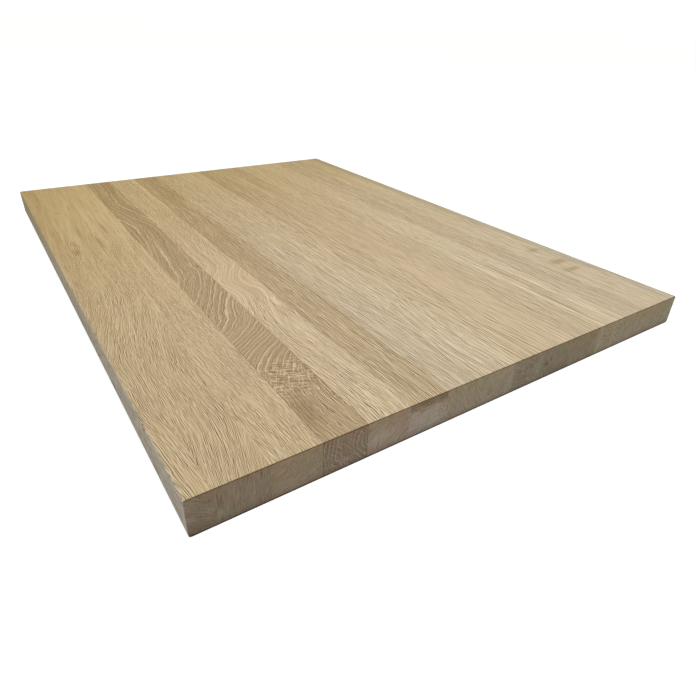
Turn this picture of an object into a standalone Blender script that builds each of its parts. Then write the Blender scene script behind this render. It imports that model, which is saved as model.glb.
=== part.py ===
# Stair tread panel of solid oak, glued edge to edge from full-length staves.
# Metres, +Z up. The origin is the middle of the underside. X runs along the
# grain, Y from the front edge of the tread (-Y) to its back edge (+Y).

from itertools import accumulate

import bmesh
import bpy

# Driving sizes
LENGTH = 0.900
DEPTH = 0.650
THICKNESS = 0.038

# The panel was ripped straight along both long edges after gluing, which left
# a narrow stave in front and a narrower one at the back. The full staves
# between them share the rest of the depth, front to back, in proportion to
# the widths in millimetres that they were planed to.
FRONT_STAVE_WIDTH = 0.0215
BACK_STAVE_WIDTH = 0.0185
FULL_STAVE_SHARES = (47, 47, 45.5, 46.5, 45, 47, 46, 46, 48, 48, 48, 47, 49)
GLUE_LINE = 0.0003

# The four long arrises are rounded, and those of the sawn ends only eased
LONG_ARRIS_RADIUS = 0.0025
LONG_ARRIS_STEPS = 6
END_ARRIS_RADIUS = 0.001
END_ARRIS_STEPS = 3
CIRCULAR_PROFILE = 0.5

# Oak tones in linear colour, and the tone of each stave from the front edge
OAK_TONES = {
    "oak_honey": (0.48, 0.36, 0.21),
    "oak_light": (0.55, 0.43, 0.29),
    "oak_straw": (0.51, 0.40, 0.26),
    "oak_brown": (0.42, 0.31, 0.175),
    "oak_grey": (0.48, 0.41, 0.30),
}
STAVE_TONES = (
    "oak_honey", "oak_honey", "oak_honey", "oak_brown", "oak_light",
    "oak_brown", "oak_straw", "oak_light", "oak_straw", "oak_straw",
    "oak_straw", "oak_light", "oak_straw", "oak_light", "oak_grey",
)
OAK_ROUGHNESS = 0.62

# Points closer than this count as one place when edges are picked out
SAME_PLACE = 0.00005


def clear_scene():
    """Takes every object out of the open scene."""
    for obj in list(bpy.data.objects):
        bpy.data.objects.remove(obj, do_unlink=True)


def oak_material(name):
    """One plain oak material, found again if it has been made already."""
    material = bpy.data.materials.get(name)
    if material is None:
        material = bpy.data.materials.new(name)
        material.use_nodes = True
        shader = material.node_tree.nodes["Principled BSDF"]
        shader.inputs["Base Color"].default_value = (*OAK_TONES[name], 1.0)
        shader.inputs["Roughness"].default_value = OAK_ROUGHNESS
        shader.inputs["Metallic"].default_value = 0.0
    return material


def lies_on(edge, axis, place):
    """Whether both ends of an edge lie at this place along an axis."""
    return all(abs(vert.co[axis] - place) < SAME_PLACE for vert in edge.verts)


def round_off(mesh, edges, radius, steps):
    """Rounds square edges off to a radius."""
    bmesh.ops.bevel(
        mesh, geom=edges, offset=radius, offset_type="OFFSET",
        segments=steps, profile=CIRCULAR_PROFILE, affect="EDGES",
    )


def add_stave(name, front, back, long_edges, joints, tone, collection):
    """One stave between its front and back faces, given by their Y.
    long_edges are those faces that are a long edge of the panel, and joints
    those that meet a neighbour."""
    mesh = bmesh.new()
    bmesh.ops.create_cube(mesh, size=1.0)
    bmesh.ops.scale(mesh, vec=(LENGTH, back - front, THICKNESS), verts=mesh.verts)
    bmesh.ops.translate(mesh, vec=(0, (front + back) / 2, THICKNESS / 2), verts=mesh.verts)

    ends = (-LENGTH / 2, LENGTH / 2)
    for face in long_edges:
        arrises = [
            edge for edge in mesh.edges
            if lies_on(edge, 1, face) and not any(lies_on(edge, 0, end) for end in ends)
        ]
        round_off(mesh, arrises, LONG_ARRIS_RADIUS, LONG_ARRIS_STEPS)
    for end in ends:
        arrises = [
            edge for edge in mesh.edges
            if lies_on(edge, 0, end) and not any(lies_on(edge, 1, joint) for joint in joints)
        ]
        round_off(mesh, arrises, END_ARRIS_RADIUS, END_ARRIS_STEPS)

    bmesh.ops.recalc_face_normals(mesh, faces=mesh.faces)
    data = bpy.data.meshes.new(name)
    mesh.to_mesh(data)
    mesh.free()
    data.materials.append(oak_material(tone))
    stave = bpy.data.objects.new(name, data)
    collection.objects.link(stave)
    return stave


def stave_widths():
    """The width of every stave, from the front edge of the panel back."""
    shared = DEPTH - FRONT_STAVE_WIDTH - BACK_STAVE_WIDTH
    full = [shared * share / sum(FULL_STAVE_SHARES) for share in FULL_STAVE_SHARES]
    return [FRONT_STAVE_WIDTH, *full, BACK_STAVE_WIDTH]


def build_panel():
    """The whole panel, stave by stave from the front edge."""
    collection = bpy.data.collections.new("stair_tread")
    bpy.context.scene.collection.children.link(collection)
    widths = stave_widths()
    lines = [width - DEPTH / 2 for width in accumulate(widths, initial=0)]
    last = len(widths) - 1
    for index, tone in enumerate(STAVE_TONES):
        front, back = lines[index], lines[index + 1]
        long_edges, joints = [], []
        if index == 0:
            long_edges.append(front)
        else:
            front += GLUE_LINE / 2
            joints.append(front)
        if index == last:
            long_edges.append(back)
        else:
            back -= GLUE_LINE / 2
            joints.append(back)
        name = f"stave_{index + 1:02d}"
        add_stave(name, front, back, long_edges, joints, tone, collection)


clear_scene()
build_panel()
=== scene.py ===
"""The looks of a solid oak stair tread panel, glued from full-length staves.

Metres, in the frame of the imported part: +X along the grain, -Y the front long
edge, +Z up, the underside on the floor. The end at +X is the near one in the
photograph and the front edge is the one on its left. The figure of the wood is
given in millimetres, from the middle of each stave.
"""

import math
from collections import namedtuple
from itertools import accumulate
from types import SimpleNamespace

import bpy
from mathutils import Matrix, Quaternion, Vector


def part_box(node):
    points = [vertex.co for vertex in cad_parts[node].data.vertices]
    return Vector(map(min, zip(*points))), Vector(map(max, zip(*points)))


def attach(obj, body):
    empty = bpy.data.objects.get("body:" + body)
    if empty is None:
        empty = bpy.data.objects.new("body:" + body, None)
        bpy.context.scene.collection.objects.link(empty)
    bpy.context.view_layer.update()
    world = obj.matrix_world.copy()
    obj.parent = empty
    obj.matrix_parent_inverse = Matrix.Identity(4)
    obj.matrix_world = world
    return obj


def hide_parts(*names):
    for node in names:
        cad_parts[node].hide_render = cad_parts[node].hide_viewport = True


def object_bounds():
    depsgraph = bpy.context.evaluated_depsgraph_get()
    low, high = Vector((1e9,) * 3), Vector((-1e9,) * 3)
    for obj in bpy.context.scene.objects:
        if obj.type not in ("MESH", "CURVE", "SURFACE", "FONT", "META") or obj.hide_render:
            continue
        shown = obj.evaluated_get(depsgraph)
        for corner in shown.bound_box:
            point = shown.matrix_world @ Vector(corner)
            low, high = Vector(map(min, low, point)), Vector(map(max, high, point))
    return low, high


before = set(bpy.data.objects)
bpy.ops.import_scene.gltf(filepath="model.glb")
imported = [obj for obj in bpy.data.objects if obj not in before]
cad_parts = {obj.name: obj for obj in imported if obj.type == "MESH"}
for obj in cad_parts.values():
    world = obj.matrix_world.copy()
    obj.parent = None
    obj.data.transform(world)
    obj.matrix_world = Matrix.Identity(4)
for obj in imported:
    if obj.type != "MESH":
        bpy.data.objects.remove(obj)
CAD_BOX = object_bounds()

# The panel, as the frame gives it
LOW, HIGH = CAD_BOX
LENGTH = HIGH.x - LOW.x
THICKNESS = HIGH.z - LOW.z
STAVE_NAMES = sorted(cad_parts)

# The same in millimetres, for the figure of the wood
MM = 0.001
HALF_LENGTH = LENGTH / 2 / MM
HALF_THICKNESS = THICKNESS / 2 / MM

# Arrises: the long ones are rounded, and those of the sawn ends are sanded off by hand,
# except the lower one, which lies wholly below the height where they stay sharp
LONG_ARRIS_RADIUS = 0.0025
LONG_ARRIS_STEPS = 8
END_ARRIS = 0.0010
END_ARRIS_STEPS = 4
SHARP_BELOW = LOW.z + 1.1 * LONG_ARRIS_RADIUS
SMOOTH_ANGLE = math.radians(35)

# The top was sanded by hand, so it dips a hair here and there, and the mesh is cut finely
# enough for that
SANDING_DIP = 0.00010
DIP_SIZE = 0.09
CUTS_ALONG = 119
CUTS_ACROSS = 7

# Points no further apart than this lie in the same place
SAME_PLACE = 0.00005

# The bake map: the gap between its strips, and how fine each strip is next to the top
MAP_GAP = 0.005
UNDER_FINENESS = 0.7
END_FINENESS = 0.5
LONG_SIDE_FINENESS = 0.9
HIDDEN_FINENESS = 0.06

# The camera, where the photograph was taken from
CAMERA_AT = (0.7288, -0.3821, 0.3276)
CAMERA_AIM = (0.3383, -0.1105, 0.0380)
CAMERA_ROLL = 1.94
CAMERA_LENS = 27.68
CAMERA_SENSOR = 36.0
CAMERA_CLIP = 0.01

# The stage: a grey floor and a warm grey room, which the camera sees as white paper
FLOOR_SIZE = 60.0
FLOOR_GREY = (0.22, 0.22, 0.22)
PAPER_GLOW = 0.91
ROOM_GREY = (0.42, 0.40, 0.36)
WHITE = (1.0, 1.0, 1.0)

# The lamps: where they hang, what they face, how wide and high they are, their power and
# their colour
LAMPS = {
    "key": ((0.3, 2.2, 4.6), (0, 0, 0), (2.0, 2.0), 114.0, (1.00, 0.95, 0.55)),
    "cool_top": ((0.20, 0.1, 1.2), (0.20, 0.1, 0), (0.6, 0.6), 6.8, (0.58, 0.64, 0.92)),
    "left_fill": ((0.7, -2.2, 0.4), (0.2, 0, 0), (2.0, 0.7), 22.0, (0.73, 1.00, 1.55)),
    "end_fill": ((1.5, 1.0, 0.25), (0.45, 0.25, 0.02), (0.5, 0.4), 3.7, (1.00, 1.00, 0.98)),
}

# The colours of oak: darkest, early wood, late wood, and the palest streaks
HONEY = ((0.330, 0.220, 0.110), (0.440, 0.315, 0.172), (0.530, 0.400, 0.240), (0.62, 0.49, 0.32))
STRAW = ((0.360, 0.260, 0.155), (0.465, 0.355, 0.232), (0.550, 0.440, 0.305), (0.64, 0.53, 0.40))
LIGHT = ((0.380, 0.270, 0.160), (0.490, 0.370, 0.240), (0.580, 0.460, 0.315), (0.67, 0.56, 0.42))
BROWN = ((0.260, 0.180, 0.092), (0.370, 0.265, 0.150), (0.470, 0.350, 0.215), (0.61, 0.48, 0.32))
GREY = ((0.330, 0.265, 0.175), (0.430, 0.355, 0.250), (0.520, 0.445, 0.335), (0.60, 0.53, 0.42))

# The tones that those colours stand for, and what is added up to a tone: plain wood,
# bands with a share of narrow ones, spots, fine lines, hairlines, and on a sawn end
# scratches and specks
RAMP = (0.0, 0.32, 0.68, 1.0)
PLAIN_TONE = 0.62
BAND_TONE = 0.20
NARROW_SHARE = 0.4
SPOT_TONE = 0.08
LINE_TONE = 0.22
HAIR_TONE = 1.15
SCRATCH_TONE = 1.5
SPECK_TONE = 0.12

# What these change the wood's colour to, as factors of it
OPEN_PORE = (0.51, 0.45, 0.35)
# Painted warmer light over the far end
PAINTED_WARM_LIGHT = (0.945, 0.89, 0.70)
ROSY = (1.010, 0.995, 0.995)
OLIVE = (0.990, 1.005, 0.985)
END_BROWN = (0.785, 0.728, 0.708)
END_GREY = (0.79, 0.78, 0.865)
END_PINK = (1.03, 0.975, 1.005)
END_GREEN = (0.97, 1.015, 0.965)
END_RIM = (0.36, 0.30, 0.22)
# The colour of the shade and contact shadow painted at the foot of a sawn end
END_PAINTED_SHADOW = (0.20, 0.17, 0.15)

# The finish is bare sanded oak, a little rougher in its pores and on its sawn ends
ROUGHNESS = 0.62
PORE_ROUGHNESS = 0.10
END_ROUGHNESS = 0.15
SPECULAR = 0.3
RELIEF = 0.0002
RELIEF_STRENGTH = 0.5

# How deep below a sawn end and below a long side their own look begins, and is full, and
# where along the stave that is at a sawn end
END_SKIN = (0.7, 0.2)
SIDE_SKIN = (0.6, 0.2)
AT_END = tuple(HALF_LENGTH - depth for depth in END_SKIN)

# What is left of streaks, hairlines and pores on a sawn end, on a long side and in a
# hatching, and of the porous wood's darkness on a sawn end
STREAKS_ON_END = 0.3
STREAKS_ON_SIDE = 0.4
STREAKS_IN_HATCHING = 0.3
POROUS_ON_END = 0.7

# Along the stave, where the warmer light painted over the far end fades out, and where the
# mottle, which is stronger there, comes down to its usual strength
WARM_LIGHT_FADES = (-500, 420)
MOTTLE_FADES = (-400, 300)
FAR_MOTTLE = 2.2

# A sawn end, in millimetres below the top and above the floor: its dark rim, the contact shadow
# painted along its foot and the shade painted above that, where they end, and how strong they
# are
RIM_REACH = (0.8, 1.5)
CONTACT_SHADOW_REACH = (1.0, 2.0)
CONTACT_SHADOW_SHARE = 0.85
PAINTED_SHADE_REACH = (1.5, 8.0)
PAINTED_SHADE_SHARE = 0.25

# The mix of brown and grey on a sawn end: at half height, for each millimetre up, and how
# far it strays from one extreme to the other. Then the same for its mix of green and pink
# and for the wood's mix of olive and rosy
BROWN_SHARE = 0.45
BROWN_CLIMB = 0.03
BROWN_STRAYS = 1.4
GREEN_STRAYS = 2.4
OLIVE_STRAYS = 1.6

# A year's growth, as shares of its width: the porous early wood, the dense late wood,
# and a line past it that is its opposite in tone. Each rises and falls over a stretch
POROUS_WOOD = ((0.0, 0.05), (0.05, 0.50))
DENSE_WOOD = ((0.58, 0.70), (0.74, 0.84))
PAST_DENSE = ((0.76, 0.84), (0.88, 0.98))
PAST_DENSE_SHARE = 0.5

# How strong both woods are in the poorest year, and how much stronger in the best
POROUS_YEARS = (0.4, 1.0)
DENSE_YEARS = (0.2, 1.4)

# How many years the rings stray by along the stave, from one extreme to the other
YEARS_ASTRAY = 1.8

# The dense wood of a stave with a hatching: where it comes in from the far end, what is
# left of it at that end, in the hatching and past it, and how much more a sawn end has
DENSE_COMES_IN = (-350, -150)
DENSE_AT_FAR_END = 0.5
DENSE_IN_HATCHING = 0.2
DENSE_PAST_HATCHING = 0.45
DENSE_MORE_ON_END = 0.5

# Hairlines: how far beside one its pale lip lies and how high it stands, as shares of its width,
# and how strongly they gather in rows. The pale lip is raised in the relief, and in the colour
# it is a painted highlight beside the dark vessel. A deep one is an open pore, in full past the
# first depth and not at all above the second. The relief is this many times the hairlines, less
# the open pores
LIP_AND_HIGHLIGHT_BESIDE = 0.6
HAIR_HEIGHT = 1.5
ROW_STRENGTH = 2.0
PORE_DEPTH = (-0.22, -0.08)
THREAD_RELIEF = 1.2

# How far across the fibres part beside a knot, as a multiple of its width
KNOT_REACH = 1.5

# Rays cross the hatching along this direction, along and across the grain, and square to
# it. Rays, and flecks between them, begin and are full at these levels of their noises
RAY_RUN = (0.47, 0.88)
RAY_EDGE = (0.06, 0.16)
FLECK_EDGE = (-0.04, 0.12)
RAY_TONE = 0.80

# Longer marks than this follow the fibres, and shorter ones lie straight
LONG_MARK = 60

# The saw's slant turns by this much, in degrees, for each unit of a stave's seed. Its
# scratches are this strong, and stray by so much from their faintest to their strongest
SAW_TURN = 137.5
SCRATCH_STRENGTH = 0.6
SCRATCH_STRAYS = 2.0

# Every stave's wood starts its noises from a seed of its own, and a noise starts at these
# multiples of it along, across and up
FIRST_SEED = 3.7
SEED_STEP = 10.0
SEED_REACH = (1.0, 1.7, 2.3)

# A noise in the wood: how long its features are along, across and up in millimetres, what
# it adds to the stave's seed, and its detail
Pattern = namedtuple("Pattern", "size shift detail", defaults=(0.0,))
SWAY_ACROSS = Pattern((70, 30, 30), 0.0)
SWAY_UP = Pattern((90, 30, 30), 5.1)
RIPPLE = Pattern((9, 6, 8), 5.9)
GROWTH = Pattern((240, 14, 40), 2.7)
BROAD_BANDS = Pattern((300, 14, 30), 1.1, 1.5)
NARROW_BANDS = Pattern((90, 6, 12), 7.7)
SPOTS = Pattern((26, 5, 7), 8.3, 1.0)
LINES = Pattern((90, 1.7, 2.4), 3.3)
HAIR_ROWS = Pattern((60, 2.6, 6), 6.8)
HAIR_CLUSTERS = Pattern((50, 9, 10), 6.4)
HAIR_SHIFT = 3.9
HUES = Pattern((70, 20, 20), 9.1)
RAYS_ALONG = Pattern((34, 1.6, 5), 5.5)
RAYS_ACROSS = Pattern((1.5, 14, 5), 5.7)
RAY_FLECKS = Pattern((9, 2.0, 5), 5.6)
SAW_SCRATCHES = Pattern((9, 1.3, 9), 4.9)
SCRATCHED_PARTS = Pattern((30, 12, 9), 5.3)
END_SPECKS = Pattern((4, 1.6, 1.6), 4.4)
END_BROWNING = Pattern((40, 14, 9), 6.6)
END_BLUSH = Pattern((60, 13, 10), 7.1)

# A knot: where along and across, how long and wide, by how much the rings bulge round it,
# and how far it parts the fibres, as a share of the way from its middle
Knot = namedtuple("Knot", "along across length width bulge parting")

# A part where rays cross the rings in a hatching: where along and across, how long and
# wide, the width of a year's growth past it, and the radius whose ring stays in place
Hatch = namedtuple("Hatch", "along across length width ring_past held")

# Every stave was sawn from its own log, and these say how, in millimetres:
# colours  its kind of oak
# tint     how its colour differs from others of its kind
# sawn     how bright its sawn ends are
# shade    how much paler it is than others
# drift    how much paler it grows from its middle to its near end
# heart    where the middle of the log lies, across and up from the stave's middle
# lean     how far the heart climbs for each millimetre along the stave
# ring     the width of a year's growth
# runs     where the fibres run slantwise: from, to, and how far they shift across
# fan      where they spread: from, to, and how much for each millimetre across
# curl     how far they sway over several centimetres
# wiggle   how far they wave over one centimetre
# knots    its knots
# hatch    its hatching
# marks    single streaks: where along and across, how long and wide, and their tone
# patches  spots on its sawn ends: where across and up, how wide and high, and their tone
# hair     how long and wide its hairlines are
# calm     where they are fainter: middle and length of the stretch, and how much is left
# figure, veins, streaks, pores and mottle are the contrast of what they name
USUAL = {
    "tint": (1, 1, 1),
    "sawn": (1, 1, 1),
    "shade": 0.0,
    "drift": 0.0,
    "heart": (-120, 40),
    "lean": 0.0,
    "ring": 2.6,
    "runs": (),
    "fan": None,
    "curl": 1.5,
    "wiggle": 0.4,
    "knots": (),
    "hatch": None,
    "marks": (),
    "patches": (),
    "hair": (24, 1.4),
    "calm": None,
    "figure": 0.10,
    "veins": 0.05,
    "streaks": 1.0,
    "pores": 0.45,
    "mottle": 1.0,
}

STAVES = (
    dict(
        colours=HONEY,
        sawn=(0.88, 0.89, 0.96),
        shade=-0.05,
        drift=0.09,
        heart=(-90, 60),
        runs=((-350, -50, -14), (60, 260, -34), (290, 500, 16)),
        curl=2.5,
        wiggle=0.8,
        patches=((0, -13, 40, 9, -0.22),),
        hair=(14, 0.65),
        calm=(-290, 260, 0.2),
        streaks=2.4,
        pores=1.0,
        mottle=1.9,
    ),
    dict(
        colours=HONEY,
        sawn=(0.90, 0.93, 0.97),
        shade=0.03,
        drift=-0.04,
        heart=(-90, 60),
        runs=((-350, -50, -14), (60, 300, -34), (370, 540, -34)),
        fan=(370, 540, -0.7),
        curl=2.5,
        wiggle=0.8,
        knots=(Knot(-92, -14, 34, 7, 8, 0.7),),
        marks=(
            (-76, -14.5, 14, 5.5, -0.60),
            (-110, -12.5, 15, 3.2, -0.60),
            (-155, 3, 35, 2.0, -0.35),
            (-95, -21, 40, 1.0, -0.35),
            (-277, -8, 8, 4.5, -0.30),
            (-105, 21, 30, 2.2, -0.6),
        ),
        hair=(14, 0.65),
        calm=(-290, 260, 0.2),
        streaks=2.9,
        pores=1.0,
        mottle=1.6,
    ),
    dict(
        colours=HONEY,
        sawn=(0.98, 0.99, 1.0),
        shade=0.15,
        drift=-0.04,
        heart=(160, -30),
        runs=((-300, 100, -12), (180, 480, 16)),
        wiggle=0.8,
        marks=(
            (-165, -7, 26, 1.8, -0.7),
            (-225, -13, 28, 1.4, -0.5),
            (-260, 3, 8, 2.5, -0.35),
            (-95, -22, 25, 1.5, -0.4),
        ),
        patches=((10, 8, 0.8, 3, 0.4), (13.5, 8, 0.8, 3, 0.4), (17, 8, 0.8, 3, 0.4)),
        hair=(10, 0.65),
        calm=(-290, 260, 0.2),
        streaks=3.5,
        pores=0.9,
        mottle=2.0,
    ),
    dict(
        colours=BROWN,
        sawn=(1.10, 1.13, 1.22),
        shade=-0.12,
        drift=-0.04,
        heart=(216, 3),
        ring=8.5,
        runs=(
            (-460, -320, -8), (-300, -130, 30), (-110, 60, -20),
            (60, 240, -60), (210, 350, -120), (390, 520, 8), (*AT_END, -9),
        ),
        curl=3.0,
        wiggle=3.5,
        knots=(Knot(55, 20, 14, 8, -9, 0.0),),
        hatch=Hatch(352, -1, 26, 27, 3.6, 40),
        marks=(
            (408, -14, 24, 9, -0.45),
            (330, -22.4, 55, 0.9, -0.5),
            (420, -22.4, 35, 0.9, -0.5),
            (300, 22.4, 58, 0.9, -0.4),
            (410, 22.4, 45, 0.9, -0.5),
            (-100, -22.3, 60, 1.0, -0.6),
            (54, 20, 5, 3, -0.4),
            (45, 11, 6, 2.5, 0.35),
            (70, 21, 5, 2.5, 0.35),
        ),
        hair=(16, 0.8),
        figure=0.20,
        veins=0.90,
        streaks=1.8,
        pores=0.6,
        mottle=1.4,
    ),
    dict(
        colours=LIGHT,
        tint=(1.02, 1.0, 0.97),
        sawn=(1.00, 1.01, 1.01),
        shade=-0.06,
        heart=(60, -60),
        lean=0.02,
        ring=6.0,
        runs=((60, 125, -26), (125, 165, 9), (165, 250, -14), (260, 420, 12)),
        curl=3.0,
        wiggle=1.0,
        marks=((203, 17, 14, 5, 0.45), (203, 10, 16, 1.4, -0.3), (200, 22.3, 18, 1.2, -0.7)),
        patches=((-6, -2, 16, 8, 0.40),),
        hair=(14, 0.85),
        calm=(120, 80, 0.35),
        figure=0.18,
        veins=0.20,
        streaks=2.8,
        pores=0.8,
        mottle=1.2,
    ),
    dict(
        colours=BROWN,
        sawn=(1.12, 1.23, 1.38),
        shade=0.04,
        heart=(150, -20),
        marks=(
            (0, 0, 130, 40, -0.12),
            (230, 22, 90, 2.0, -0.5),
            (250, -20, 120, 2.0, -0.4),
            (-100, -21.5, 110, 1.2, -0.4),
        ),
        patches=((0, -4, 60, 14, 0.38), (0, 15, 60, 4.5, -0.50)),
        hair=(20, 0.9),
        streaks=3.0,
        pores=0.9,
        mottle=2.3,
    ),
    dict(
        colours=STRAW,
        sawn=(0.98, 1.02, 0.94),
        shade=0.06,
        heart=(-100, 70),
        runs=((250, 400, 6),),
        marks=((240, 22, 150, 1.4, -0.6), (250, -21, 160, 4.0, -0.25), (385, 14, 40, 1.2, -0.5)),
        hair=(24, 1.0),
        streaks=3.0,
        pores=0.9,
        mottle=1.8,
    ),
    dict(
        colours=LIGHT,
        sawn=(0.90, 0.94, 0.88),
        shade=0.04,
        drift=0.08,
        heart=(-130, -30),
        runs=((230, 380, -10),),
        marks=((0, 12, 330, 0.9, -0.5), (140, 15, 260, 0.8, -0.35)),
        hair=(24, 1.0),
        calm=(-450, 330, 0.5),
        streaks=4.0,
        pores=0.9,
        mottle=1.8,
    ),
    dict(
        colours=STRAW,
        tint=(1.0, 0.99, 0.965),
        sawn=(0.81, 0.88, 0.89),
        shade=-0.14,
        drift=0.10,
        heart=(14, -80),
        lean=0.01,
        marks=((400, 24, 60, 1.5, -0.4), (-40, 8, 110, 2.2, -0.3)),
        patches=(
            (-14, 4, 2.2, 1.6, -0.6),
            (-9, 8, 2.2, 1.6, 0.4),
            (-9, 0, 2.2, 1.6, 0.4),
            (-4, 4, 2.2, 1.6, -0.6),
            (-4, -5, 2.2, 1.6, -0.5),
            (1, 0, 2.2, 1.6, 0.4),
            (1, 8, 2.2, 1.6, -0.5),
            (1, -9, 2.2, 1.6, 0.4),
            (6, 4, 2.2, 1.6, -0.4),
        ),
        figure=0.15,
        streaks=2.0,
        pores=0.6,
        mottle=1.9,
    ),
    dict(
        colours=STRAW,
        tint=(1.0, 0.985, 0.965),
        sawn=(0.76, 0.82, 0.80),
        shade=-0.09,
        drift=0.10,
        heart=(-110, 30),
        patches=((-17, -1, 3.2, 2.2, -1.0), (-10, 4, 2.0, 3.5, -0.8), (0, -13, 60, 8, -0.2)),
        streaks=1.5,
        pores=0.4,
        mottle=1.8,
    ),
    dict(
        colours=STRAW,
        sawn=(0.87, 0.93, 0.86),
        shade=-0.07,
        drift=-0.10,
        heart=(-120, -70),
        streaks=2.0,
        pores=0.5,
        mottle=1.5,
    ),
    dict(
        colours=LIGHT,
        tint=(0.99, 1.0, 1.03),
        sawn=(0.91, 0.95, 0.84),
        shade=0.05,
        drift=-0.05,
        heart=(-50, -90),
        marks=(
            (300, -18, 150, 2.2, 0.7),
            (340, 9, 110, 2.6, 0.8),
            (300, -4, 70, 3.0, -0.7),
            (380, -12, 45, 3.0, -0.8),
            (300, 4, 60, 1.6, -0.8),
        ),
        hair=(24, 1.2),
        figure=0.18,
        streaks=2.9,
        pores=0.5,
    ),
    dict(
        colours=STRAW,
        tint=(0.985, 0.99, 1.03),
        sawn=(0.99, 1.06, 0.97),
        shade=-0.09,
        heart=(-110, -50),
        marks=((290, 0, 40, 1.6, -0.5), (250, 12, 50, 1.4, -0.4), (200, -18, 25, 1.6, -0.5)),
        hair=(24, 1.2),
        streaks=3.9,
        pores=0.6,
        mottle=2.9,
    ),
    dict(
        colours=LIGHT,
        tint=(0.965, 0.99, 1.04),
        sawn=(0.87, 0.92, 0.81),
        shade=-0.03,
        heart=(-160, 5),
        marks=((246, 11, 6, 11, -0.65), (295, 7, 7, 17, -0.72), (323, -1, 5, 16, -0.75)),
        streaks=2.1,
        pores=0.4,
        mottle=2.2,
    ),
    dict(
        colours=GREY,
        tint=(0.985, 1.0, 1.04),
        sawn=(1.06, 1.09, 0.98),
        shade=-0.25,
        drift=0.05,
        heart=(-120, -60),
        calm=(-450, 330, 0.5),
        figure=0.08,
        streaks=2.4,
        pores=0.5,
    ),
)


class Field:
    """A number, colour or vector that changes over the wood: one output of a node.
    Arithmetic on it adds Math nodes to the same tree, and it carries the seed that
    its noises start from."""

    def __init__(self, tree, socket, seed=0.0):
        self.tree = tree
        self.socket = socket
        self.seed = seed

    def node(self, kind, settings, inputs, output=0):
        """Adds a node: its settings first, then its sockets' values or links."""
        node = self.tree.nodes.new(kind)
        for name, value in settings.items():
            if name == "stops":
                node.color_ramp.elements.remove(node.color_ramp.elements[1])
                for at, colour in value:
                    stop = node.color_ramp.elements.new(at)
                    stop.color = colour
                node.color_ramp.elements.remove(node.color_ramp.elements[0])
            else:
                setattr(node, name, value)
        for name, value in inputs.items():
            if isinstance(value, Field):
                self.tree.links.new(value.socket, node.inputs[name])
            else:
                node.inputs[name].default_value = value
        return Field(self.tree, node.outputs[output], self.seed)

    def other(self, output):
        """Another output of the node that this one comes from."""
        return Field(self.tree, self.socket.node.outputs[output], self.seed)

    def math(self, operation, *values):
        inputs = dict(enumerate(values))
        return self.node("ShaderNodeMath", {"operation": operation}, inputs)

    def __add__(self, value):
        return self.math("ADD", self, value)

    def __radd__(self, value):
        return self.math("ADD", value, self)

    def __sub__(self, value):
        return self.math("SUBTRACT", self, value)

    def __rsub__(self, value):
        return self.math("SUBTRACT", value, self)

    def __mul__(self, value):
        return self.math("MULTIPLY", self, value)

    def __rmul__(self, value):
        return self.math("MULTIPLY", value, self)

    def __truediv__(self, value):
        return self.math("DIVIDE", self, value)

    def __abs__(self):
        return self.math("ABSOLUTE", self)

    def ease(self, low, high, start=0.0, end=1.0):
        """Goes smoothly from start to end as this number goes from low to high."""
        return self.node(
            "ShaderNodeMapRange",
            {"interpolation_type": "SMOOTHSTEP"},
            {"Value": self, "From Min": low, "From Max": high, "To Min": start, "To Max": end},
        )

    def band(self, rise, fall):
        """Rises from 0 to 1 over one stretch and falls back over another."""
        return self.ease(*rise) * self.ease(*fall, 1.0, 0.0)

    def leaves(self, left):
        """1 where this number is 0, and just what is left where it is 1."""
        return 1 - (1 - left) * self

    def hump(self, middle, width):
        """Rises to 1 at the middle and falls off within about its width."""
        away = (self - middle) / width
        return self.math("EXPONENT", -1 * (away * away))

    def vector(self, across, up):
        """A vector that has this number as its X."""
        inputs = {"X": self, "Y": across, "Z": up}
        return self.node("ShaderNodeCombineXYZ", {}, inputs)

    def noise(self, pattern):
        """Noise about 0, mostly within 0.5 of it, over this vector."""
        seed = self.seed + pattern.shift
        finer = [1 / part for part in pattern.size]
        inputs = {0: self, 1: finer, 2: [reach * seed for reach in SEED_REACH]}
        scaled = self.node("ShaderNodeVectorMath", {"operation": "MULTIPLY_ADD"}, inputs)
        inputs = {"Vector": scaled, "Scale": 1.0, "Detail": pattern.detail}
        return self.node("ShaderNodeTexNoise", {"noise_dimensions": "3D"}, inputs) - 0.5

    def mix(self, first, second):
        """Mixes two colours by this number."""
        settings = {"data_type": "RGBA", "blend_type": "MIX", "clamp_factor": True}
        return self.node("ShaderNodeMix", settings, {0: self, 6: first, 7: second}, output=2)

    def times(self, change, share=1.0):
        """This colour with a share of another multiplied into it."""
        settings = {"data_type": "RGBA", "blend_type": "MULTIPLY", "clamp_factor": True}
        return self.node("ShaderNodeMix", settings, {0: share, 6: self, 7: change}, output=2)


def rgba(colour):
    return (*colour, 1.0)


def tinted(colour, change):
    return tuple(part * times for part, times in zip(colour, change))


def places(tree, middle, width, seed, log):
    """Where a point of the stave lies, in millimetres from its middle, and whether it is
    on a sawn end, on a long side or in the hatching, from 0 to 1."""
    metres = Field(tree, tree.nodes.new("ShaderNodeTexCoord").outputs["Object"], seed)
    point = metres.node(
        "ShaderNodeMapping",
        {"vector_type": "TEXTURE"},
        {"Vector": metres, "Location": (0, middle, THICKNESS / 2), "Scale": (MM, MM, MM)},
    )
    x = point.node("ShaderNodeSeparateXYZ", {}, {0: point})
    across = x.other("Y")
    half_width = width / 2 / MM
    hatched = None
    if log.hatch:
        hatched = x.hump(log.hatch.along, log.hatch.length)
        hatched = hatched * across.hump(log.hatch.across, log.hatch.width)
    return SimpleNamespace(
        point=point,
        x=x,
        across=across,
        up=x.other("Z"),
        end=abs(x).ease(*AT_END),
        side=abs(across).ease(*(half_width - depth for depth in SIDE_SKIN)),
        hatched=hatched,
    )


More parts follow.
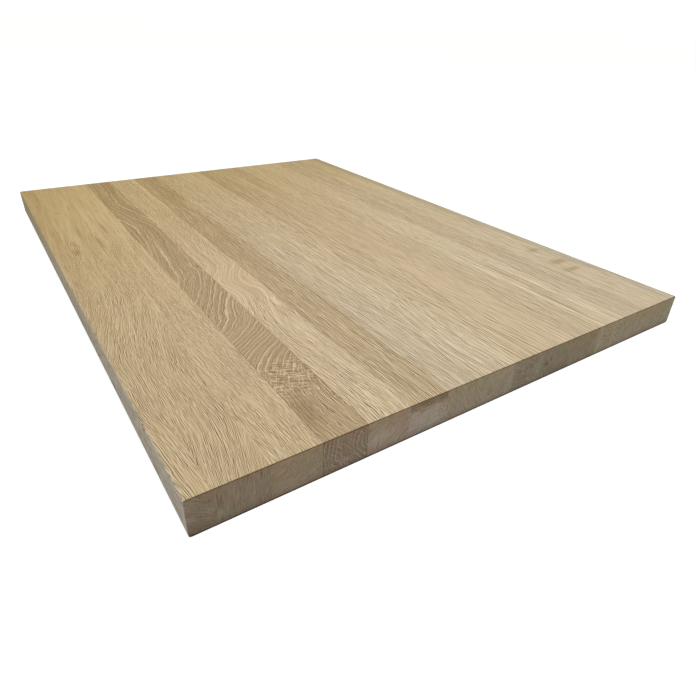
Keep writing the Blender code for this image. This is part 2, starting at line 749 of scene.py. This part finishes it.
def run_of_fibres(at, log):
    """Where a point would lie if the fibre through it were straight. The fibres sway and
    wave, run slantwise except on a long side, spread, and part round knots."""
    ripple = log.wiggle * at.point.noise(RIPPLE)
    across = at.across - 2 * log.curl * at.point.noise(SWAY_ACROSS) - ripple
    up = at.up - 2 * log.curl * at.point.noise(SWAY_UP) - ripple
    for start, stop, shift in log.runs:
        across = across - (1 - at.side) * at.x.ease(start, stop, 0.0, shift)
    if log.fan:
        start, stop, spread = log.fan
        across = across - at.x.ease(start, stop, 0.0, spread) * at.across
    for knot in log.knots:
        beside_it = at.across.hump(knot.across, KNOT_REACH * knot.width)
        near_it = at.x.hump(knot.along, knot.length) * beside_it
        across = across - knot.parting * (at.across - knot.across) * near_it
    return SimpleNamespace(across=across, up=up, point=at.x.vector(across, up))


def years_from_heart(at, fibre, log):
    """How many years' growth lie between the log's heart and this point. The rings bulge
    round knots, and they are narrower past the hatching."""
    from_heart = fibre.across - log.heart[0]
    above_heart = fibre.up - log.heart[1] - log.lean * at.x
    apart = at.x.node("ShaderNodeCombineXYZ", {}, {"Y": from_heart, "Z": above_heart})
    radius = apart.node("ShaderNodeVectorMath", {"operation": "LENGTH"}, {0: apart}, "Value")
    for knot in log.knots:
        at_it = at.x.hump(knot.along, knot.length) * at.across.hump(knot.across, knot.width)
        radius = radius + knot.bulge * at_it
    if log.hatch:
        start = log.hatch.along - log.hatch.length
        stop = log.hatch.along + log.hatch.length
        per_year = at.x.ease(start, stop, 1 / log.ring, 1 / log.hatch.ring_past)
        # Counted from one ring, which stays in place as the others draw closer
        years = (radius - log.hatch.held) * per_year
    else:
        years = radius / log.ring
    return years + YEARS_ASTRAY * fibre.point.noise(GROWTH)


def ring_tone(at, fibre, log):
    """The tone of the rings: dark in the porous wood of a year and pale in the dense
    wood, more so in some years than in others."""
    years = years_from_heart(at, fibre, log)
    phase = years.math("FRACT", years)
    year = years.math("FLOOR", years)
    vigour = year.node("ShaderNodeTexWhiteNoise", {"noise_dimensions": "1D"}, {"W": year})
    poorest, more = POROUS_YEARS
    porous = phase.band(*POROUS_WOOD) * (poorest + more * vigour)
    poorest, more = DENSE_YEARS
    dense = phase.band(*DENSE_WOOD) - PAST_DENSE_SHARE * phase.band(*PAST_DENSE)
    dense = dense * (poorest + more * vigour)
    if log.hatch:
        past = (log.hatch.along, log.hatch.along + 2 * log.hatch.length)
        dense = dense * at.x.ease(*DENSE_COMES_IN, DENSE_AT_FAR_END, 1.0)
        dense = dense * at.hatched.leaves(DENSE_IN_HATCHING)
        dense = dense * (at.x.ease(*past, 1.0, DENSE_PAST_HATCHING) + DENSE_MORE_ON_END * at.end)
    return log.veins * dense - log.figure * at.end.leaves(POROUS_ON_END) * porous


def crossing_rays(at):
    """The tone of the hatching: pale rays that cross, and dark flecks between them."""
    run, turn = RAY_RUN
    slanted = (run * at.x + turn * at.across).vector(turn * at.x - run * at.across, at.up)
    rays = slanted.noise(RAYS_ALONG).ease(*RAY_EDGE) + slanted.noise(RAYS_ACROSS).ease(*RAY_EDGE)
    return at.hatched * (RAY_TONE * rays - slanted.noise(RAY_FLECKS).ease(*FLECK_EDGE))


def hairlines(at, fibre, log):
    """Vessels cut open along the face: short hairlines in rows and clusters, each dark beside
    its pale lip, which is raised in the relief and in the colour is a painted highlight."""
    length, width = log.hair
    pattern = Pattern((length, width, HAIR_HEIGHT * width), HAIR_SHIFT)
    lip_and_highlight = at.x.vector(fibre.across + LIP_AND_HIGHLIGHT_BESIDE * width, fibre.up)
    threads = fibre.point.noise(pattern) - lip_and_highlight.noise(pattern)
    clusters = fibre.point.noise(HAIR_CLUSTERS)
    threads = threads * (1 + ROW_STRENGTH * fibre.point.noise(HAIR_ROWS) + clusters)
    if log.calm:
        middle, stretch, left = log.calm
        threads = threads * at.x.hump(middle, stretch).leaves(left)
    return threads


def saw_tone(at):
    """The tone of a sawn end: scratches here and there, at a slant that differs from
    stave to stave, and specks."""
    slant = math.radians(SAW_TURN * at.x.seed)
    along_saw = math.cos(slant) * at.across + math.sin(slant) * at.up
    across_saw = math.cos(slant) * at.up - math.sin(slant) * at.across
    scratches = along_saw.vector(across_saw, at.x).noise(SAW_SCRATCHES)
    strength = SCRATCH_STRENGTH + SCRATCH_STRAYS * at.point.noise(SCRATCHED_PARTS)
    specks = SPECK_TONE * at.point.noise(END_SPECKS)
    return at.end * (SCRATCH_TONE * scratches * strength + specks)


def mottled_tone(at, fibre):
    """The tone of broad and narrow bands and of spots, stronger towards the far end."""
    bands = fibre.point.noise(BROAD_BANDS) + NARROW_SHARE * fibre.point.noise(NARROW_BANDS)
    mottle = BAND_TONE * bands + SPOT_TONE * fibre.point.noise(SPOTS)
    return at.x.ease(*MOTTLE_FADES, FAR_MOTTLE, 1.0) * mottle


def tone_of_marks(at, fibre, log):
    """The tone of the stave's single streaks, and of the spots on its sawn ends."""
    tone = 0.0
    for along, beside, length, width, depth in log.marks:
        across = fibre.across if length > LONG_MARK else at.across
        tone = tone + depth * (at.x.hump(along, length) * across.hump(beside, width))
    for beside, above, width, height, depth in log.patches:
        spot = at.across.hump(beside, width) * at.up.hump(above, height)
        tone = tone + depth * (at.end * spot)
    return tone


def end_change(at, log):
    """What a sawn end changes the colour by. It is browner at the top and greyer below, pinker
    or greener in places, dark along its top arris, and darkened towards the floor by painted
    shade, with a painted contact shadow along its foot."""
    browner = BROWN_SHARE + BROWN_CLIMB * at.up + BROWN_STRAYS * at.point.noise(END_BROWNING)
    greener = 0.5 + GREEN_STRAYS * at.point.noise(END_BLUSH)
    change = browner.mix(rgba(tinted(END_GREY, log.sawn)), rgba(tinted(END_BROWN, log.sawn)))
    change = change.times(greener.mix(rgba(END_PINK), rgba(END_GREEN)))
    below_top = HALF_THICKNESS - at.up
    above_floor = HALF_THICKNESS + at.up
    change = below_top.ease(*RIM_REACH, 1.0, 0.0).mix(change, rgba(END_RIM))
    # Dark along the top arris; towards the floor, painted shade and a painted contact shadow
    contact_shadow = above_floor.ease(*CONTACT_SHADOW_REACH, CONTACT_SHADOW_SHARE, 0.0)
    painted_shade = above_floor.ease(*PAINTED_SHADE_REACH, PAINTED_SHADE_SHARE, 0.0)
    return (contact_shadow + painted_shade).mix(change, rgba(END_PAINTED_SHADOW))


def oak(name, middle, width, seed, log):
    """The wood of one stave as a solid texture: rings round the log's heart and
    streaks and pores along the fibres, so that the faces, the arrises and the
    sawn ends all cut through the same figure."""
    material = bpy.data.materials.new(name)
    material.use_nodes = True
    tree = material.node_tree
    at = places(tree, middle, width, seed, log)
    fibre = run_of_fibres(at, log)
    threads = hairlines(at, fibre, log)
    open_pores = threads.ease(*PORE_DEPTH, 1.0, 0.0)
    clear = at.end.leaves(STREAKS_ON_END) * at.side.leaves(STREAKS_ON_SIDE)
    if log.hatch:
        clear = clear * at.hatched.leaves(STREAKS_IN_HATCHING)

    tone = PLAIN_TONE + log.shade + log.drift / HALF_LENGTH * at.x
    tone = tone + ring_tone(at, fibre, log) + saw_tone(at)
    tone = tone + log.mottle * mottled_tone(at, fibre)
    # Hairlines add dark vessels to the tone and, beside them, painted highlights
    streaks = LINE_TONE * fibre.point.noise(LINES) + HAIR_TONE * threads
    tone = tone + log.streaks * clear * streaks + tone_of_marks(at, fibre, log)
    if log.hatch:
        tone = tone + crossing_rays(at)
    stops = [(stop, rgba(tinted(colour, log.tint))) for stop, colour in zip(RAMP, log.colours)]
    colour = tone.node("ShaderNodeValToRGB", {"stops": stops}, {"Fac": tone})

    # The hue drifts between rosy and olive, and warmer light is painted over the far end
    olive = 0.5 + OLIVE_STRAYS * fibre.point.noise(HUES)
    colour = colour.times(olive.mix(rgba(ROSY), rgba(OLIVE)))
    colour = colour.times(rgba(PAINTED_WARM_LIGHT), at.x.ease(*WARM_LIGHT_FADES, 1.0, 0.0))
    colour = colour.times(rgba(OPEN_PORE), log.pores * clear * open_pores)
    colour = colour.times(end_change(at, log), at.end)

    shader = tree.nodes["Principled BSDF"]
    tree.links.new(colour.socket, shader.inputs["Base Color"])
    rough = ROUGHNESS + PORE_ROUGHNESS * open_pores + END_ROUGHNESS * at.end
    tree.links.new(rough.socket, shader.inputs["Roughness"])
    shader.inputs["Specular IOR Level"].default_value = SPECULAR
    height = THREAD_RELIEF * threads - open_pores
    relief = {"Height": height, "Strength": RELIEF_STRENGTH, "Distance": RELIEF}
    bump = height.node("ShaderNodeBump", {}, relief)
    tree.links.new(bump.socket, shader.inputs["Normal"])
    return material


def deselect_all():
    if bpy.context.object and bpy.context.object.mode != "OBJECT":
        bpy.ops.object.mode_set(mode="OBJECT")
    bpy.ops.object.select_all(action="DESELECT")


def pick_edges(obj, test):
    """Goes into edit mode with just the edges selected whose two ends pass the test."""
    bpy.ops.object.mode_set(mode="EDIT")
    bpy.ops.mesh.select_mode(type="EDGE")
    bpy.ops.mesh.select_all(action="DESELECT")
    bpy.ops.object.mode_set(mode="OBJECT")
    for edge in obj.data.edges:
        first, second = (obj.data.vertices[index].co for index in edge.vertices)
        edge.select = test(first, second)
    bpy.ops.object.mode_set(mode="EDIT")


def both_at(first, second, axis, place):
    return abs(first[axis] - place) < SAME_PLACE and abs(second[axis] - place) < SAME_PLACE


def runs_along(first, second, axis):
    """Whether an edge is parallel to an axis."""
    step = second - first
    return abs(abs(step[axis]) - step.length) < SAME_PLACE * step.length


def stave_block(name, front, back, outer_sides):
    """A stave planed to its size, with its arrises worked as on the bench."""
    deselect_all()
    middle = (front + back) / 2
    bpy.ops.mesh.primitive_cube_add(size=1.0, location=(0, middle, THICKNESS / 2))
    obj = bpy.context.object
    obj.name = obj.data.name = name
    obj.scale = (LENGTH, back - front, THICKNESS)
    bpy.ops.object.transform_apply(location=True, rotation=True, scale=True)

    for side in outer_sides:
        pick_edges(obj, lambda a, b: both_at(a, b, 1, side) and runs_along(a, b, 0))
        bpy.ops.mesh.bevel(offset=LONG_ARRIS_RADIUS, segments=LONG_ARRIS_STEPS, affect="EDGES")
    joints = [side for side in (front, back) if side not in outer_sides]

    def sawn_arris(a, b):
        at_end = any(both_at(a, b, 0, end) for end in (LOW.x, HIGH.x))
        at_joint = any(both_at(a, b, 1, joint) for joint in joints)
        return at_end and not at_joint and max(a.z, b.z) > SHARP_BELOW

    pick_edges(obj, sawn_arris)
    bpy.ops.mesh.bevel(offset=END_ARRIS, segments=END_ARRIS_STEPS, affect="EDGES")
    pick_edges(obj, lambda a, b: runs_along(a, b, 0) and (a - b).length > LENGTH / 2)
    bpy.ops.mesh.subdivide(number_cuts=CUTS_ALONG)
    pick_edges(obj, lambda a, b: runs_along(a, b, 1) and (a - b).length > (back - front) / 2)
    bpy.ops.mesh.subdivide(number_cuts=CUTS_ACROSS)
    bpy.ops.object.mode_set(mode="OBJECT")
    return obj


def sand_top(obj, sanding):
    """Lets the top dip here and there, and shades the stave smooth round its arrises."""
    sanded = obj.vertex_groups.new(name="sanded")
    top = [vert.index for vert in obj.data.vertices if both_at(vert.co, vert.co, 2, HIGH.z)]
    sanded.add(top, 1.0, "REPLACE")
    dips = obj.modifiers.new("dips", "DISPLACE")
    dips.texture = sanding
    dips.texture_coords = "LOCAL"
    dips.direction = "Z"
    dips.vertex_group = sanded.name
    dips.mid_level = 1.0
    dips.strength = SANDING_DIP
    bpy.ops.object.modifier_apply(modifier=dips.name)
    bpy.ops.object.shade_smooth_by_angle(angle=SMOOTH_ANGLE)


def lay_out(obj, front, back, outer_sides):
    """Lays the faces out as strips, for whoever bakes the wood to images. Every strip
    is as long as the map is wide, so the map is far finer across the grain than
    along it, and what neighbours hide takes little of it."""
    width = back - front
    fineness = {
        side: LONG_SIDE_FINENESS if side in outer_sides else HIDDEN_FINENESS
        for side in (front, back)
    }
    strips = {
        "top": width,
        "under": UNDER_FINENESS * width,
        "ends": END_FINENESS * THICKNESS,
        "front": fineness[front] * THICKNESS,
        "back": fineness[back] * THICKNESS,
    }
    scale = (1 - MAP_GAP * (len(strips) + 1)) / sum(strips.values())
    heights = [scale * strip for strip in strips.values()]
    starts = accumulate(heights, lambda start, height: start + height + MAP_GAP, initial=MAP_GAP)
    start = dict(zip(strips, starts))
    layer = obj.data.uv_layers.active
    layer.name = "OFBake"
    for face in obj.data.polygons:
        axis = max(range(3), key=lambda part: abs(face.normal[part]))
        ahead = face.normal[axis] > 0
        strip = (("ends", "ends"), ("front", "back"), ("under", "top"))[axis][ahead]
        for corner in face.loop_indices:
            place = obj.data.vertices[obj.data.loops[corner].vertex_index].co
            along = (place.x - LOW.x) / LENGTH
            across = (place.y - front) / width
            tall = across if axis == 2 else (place.z - LOW.z) / THICKNESS
            if axis == 0:
                # The two ends share a strip, side by side
                along = 0.5 * ahead + (0.5 - MAP_GAP) * across
            layer.data[corner].uv = (
                MAP_GAP + (1 - 2 * MAP_GAP) * along,
                start[strip] + scale * strips[strip] * tall,
            )


def build_staves():
    sanding = bpy.data.textures.new("sanding", "CLOUDS")
    sanding.noise_scale = DIP_SIZE
    sanding.noise_depth = 1
    boxes = [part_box(name) for name in STAVE_NAMES]
    last = len(boxes) - 1
    for index, name in enumerate(STAVE_NAMES):
        front, back = boxes[index][0].y, boxes[index][1].y
        outer_sides = []
        # Neighbours meet in the middle of the frame's hairline gap
        if index == 0:
            outer_sides.append(front)
        else:
            front = (boxes[index - 1][1].y + front) / 2
        if index == last:
            outer_sides.append(back)
        else:
            back = (back + boxes[index + 1][0].y) / 2
        stave = stave_block(f"oak_{name}", front, back, outer_sides)
        sand_top(stave, sanding)
        lay_out(stave, front, back, outer_sides)
        seed = FIRST_SEED + SEED_STEP * index
        log = SimpleNamespace(**{**USUAL, **STAVES[index]})
        wood = oak(f"wood_{name}", (front + back) / 2, back - front, seed, log)
        stave.data.materials.clear()
        stave.data.materials.append(wood)
        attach(stave, "root")
        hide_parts(name)


def seen_white(name, colour, glow):
    """A stage material that lights the wood as its own colour does, and that the
    camera sees as white paper with the panel's shadow on it."""
    material = bpy.data.materials.new(name)
    material.use_nodes = True
    tree = material.node_tree
    shader = tree.nodes["Principled BSDF"]
    shader.inputs["Base Color"].default_value = rgba(colour)
    shader.inputs["Roughness"].default_value = 1.0
    shader.inputs["Specular IOR Level"].default_value = 0.0
    matt = Field(tree, shader.outputs[0])
    seen = Field(tree, tree.nodes.new("ShaderNodeLightPath").outputs["Is Camera Ray"])
    paper = seen.node("ShaderNodeEmission", {}, {"Strength": glow})
    lit = seen.node("ShaderNodeAddShader", {}, {0: matt, 1: paper})
    mixed = seen.node("ShaderNodeMixShader", {}, {0: seen, 1: matt, 2: lit})
    tree.links.new(mixed.socket, tree.nodes["Material Output"].inputs["Surface"])
    return material


def build_stage():
    deselect_all()
    bpy.ops.mesh.primitive_plane_add(size=FLOOR_SIZE, location=(0, 0, LOW.z))
    floor = bpy.context.object
    floor.name = "floor"
    floor.data.materials.append(seen_white("paper_floor", FLOOR_GREY, PAPER_GLOW))

    world = bpy.data.worlds.new("soft_room")
    bpy.context.scene.world = world
    world.use_nodes = True
    tree = world.node_tree
    background = tree.nodes["Background"]
    seen = Field(tree, tree.nodes.new("ShaderNodeLightPath").outputs["Is Camera Ray"])
    white = seen.mix(rgba(ROOM_GREY), rgba(WHITE))
    tree.links.new(white.socket, background.inputs["Color"])


def build_lamps():
    for name, (at, aim, (width, height), power, colour) in LAMPS.items():
        lamp = bpy.data.lights.new(name, "AREA")
        lamp.shape = "RECTANGLE"
        lamp.size = width
        lamp.size_y = height
        lamp.energy = power
        lamp.color = colour
        obj = bpy.data.objects.new(name, lamp)
        bpy.context.scene.collection.objects.link(obj)
        obj.location = at
        obj.rotation_euler = (Vector(aim) - Vector(at)).to_track_quat("-Z", "Y").to_euler()


def build_camera():
    camera = bpy.data.cameras.new("camera")
    camera.lens = CAMERA_LENS
    camera.sensor_width = CAMERA_SENSOR
    camera.clip_start = CAMERA_CLIP
    obj = bpy.data.objects.new("camera", camera)
    bpy.context.scene.collection.objects.link(obj)
    obj.location = CAMERA_AT
    facing = (Vector(CAMERA_AIM) - Vector(CAMERA_AT)).to_track_quat("-Z", "Y")
    roll = Quaternion((0, 0, 1), math.radians(CAMERA_ROLL))
    obj.rotation_euler = (facing @ roll).to_euler()
    bpy.context.scene.camera = obj


build_camera()
build_staves()
build_stage()
build_lamps()
bpy.context.scene.view_settings.view_transform = "Standard"
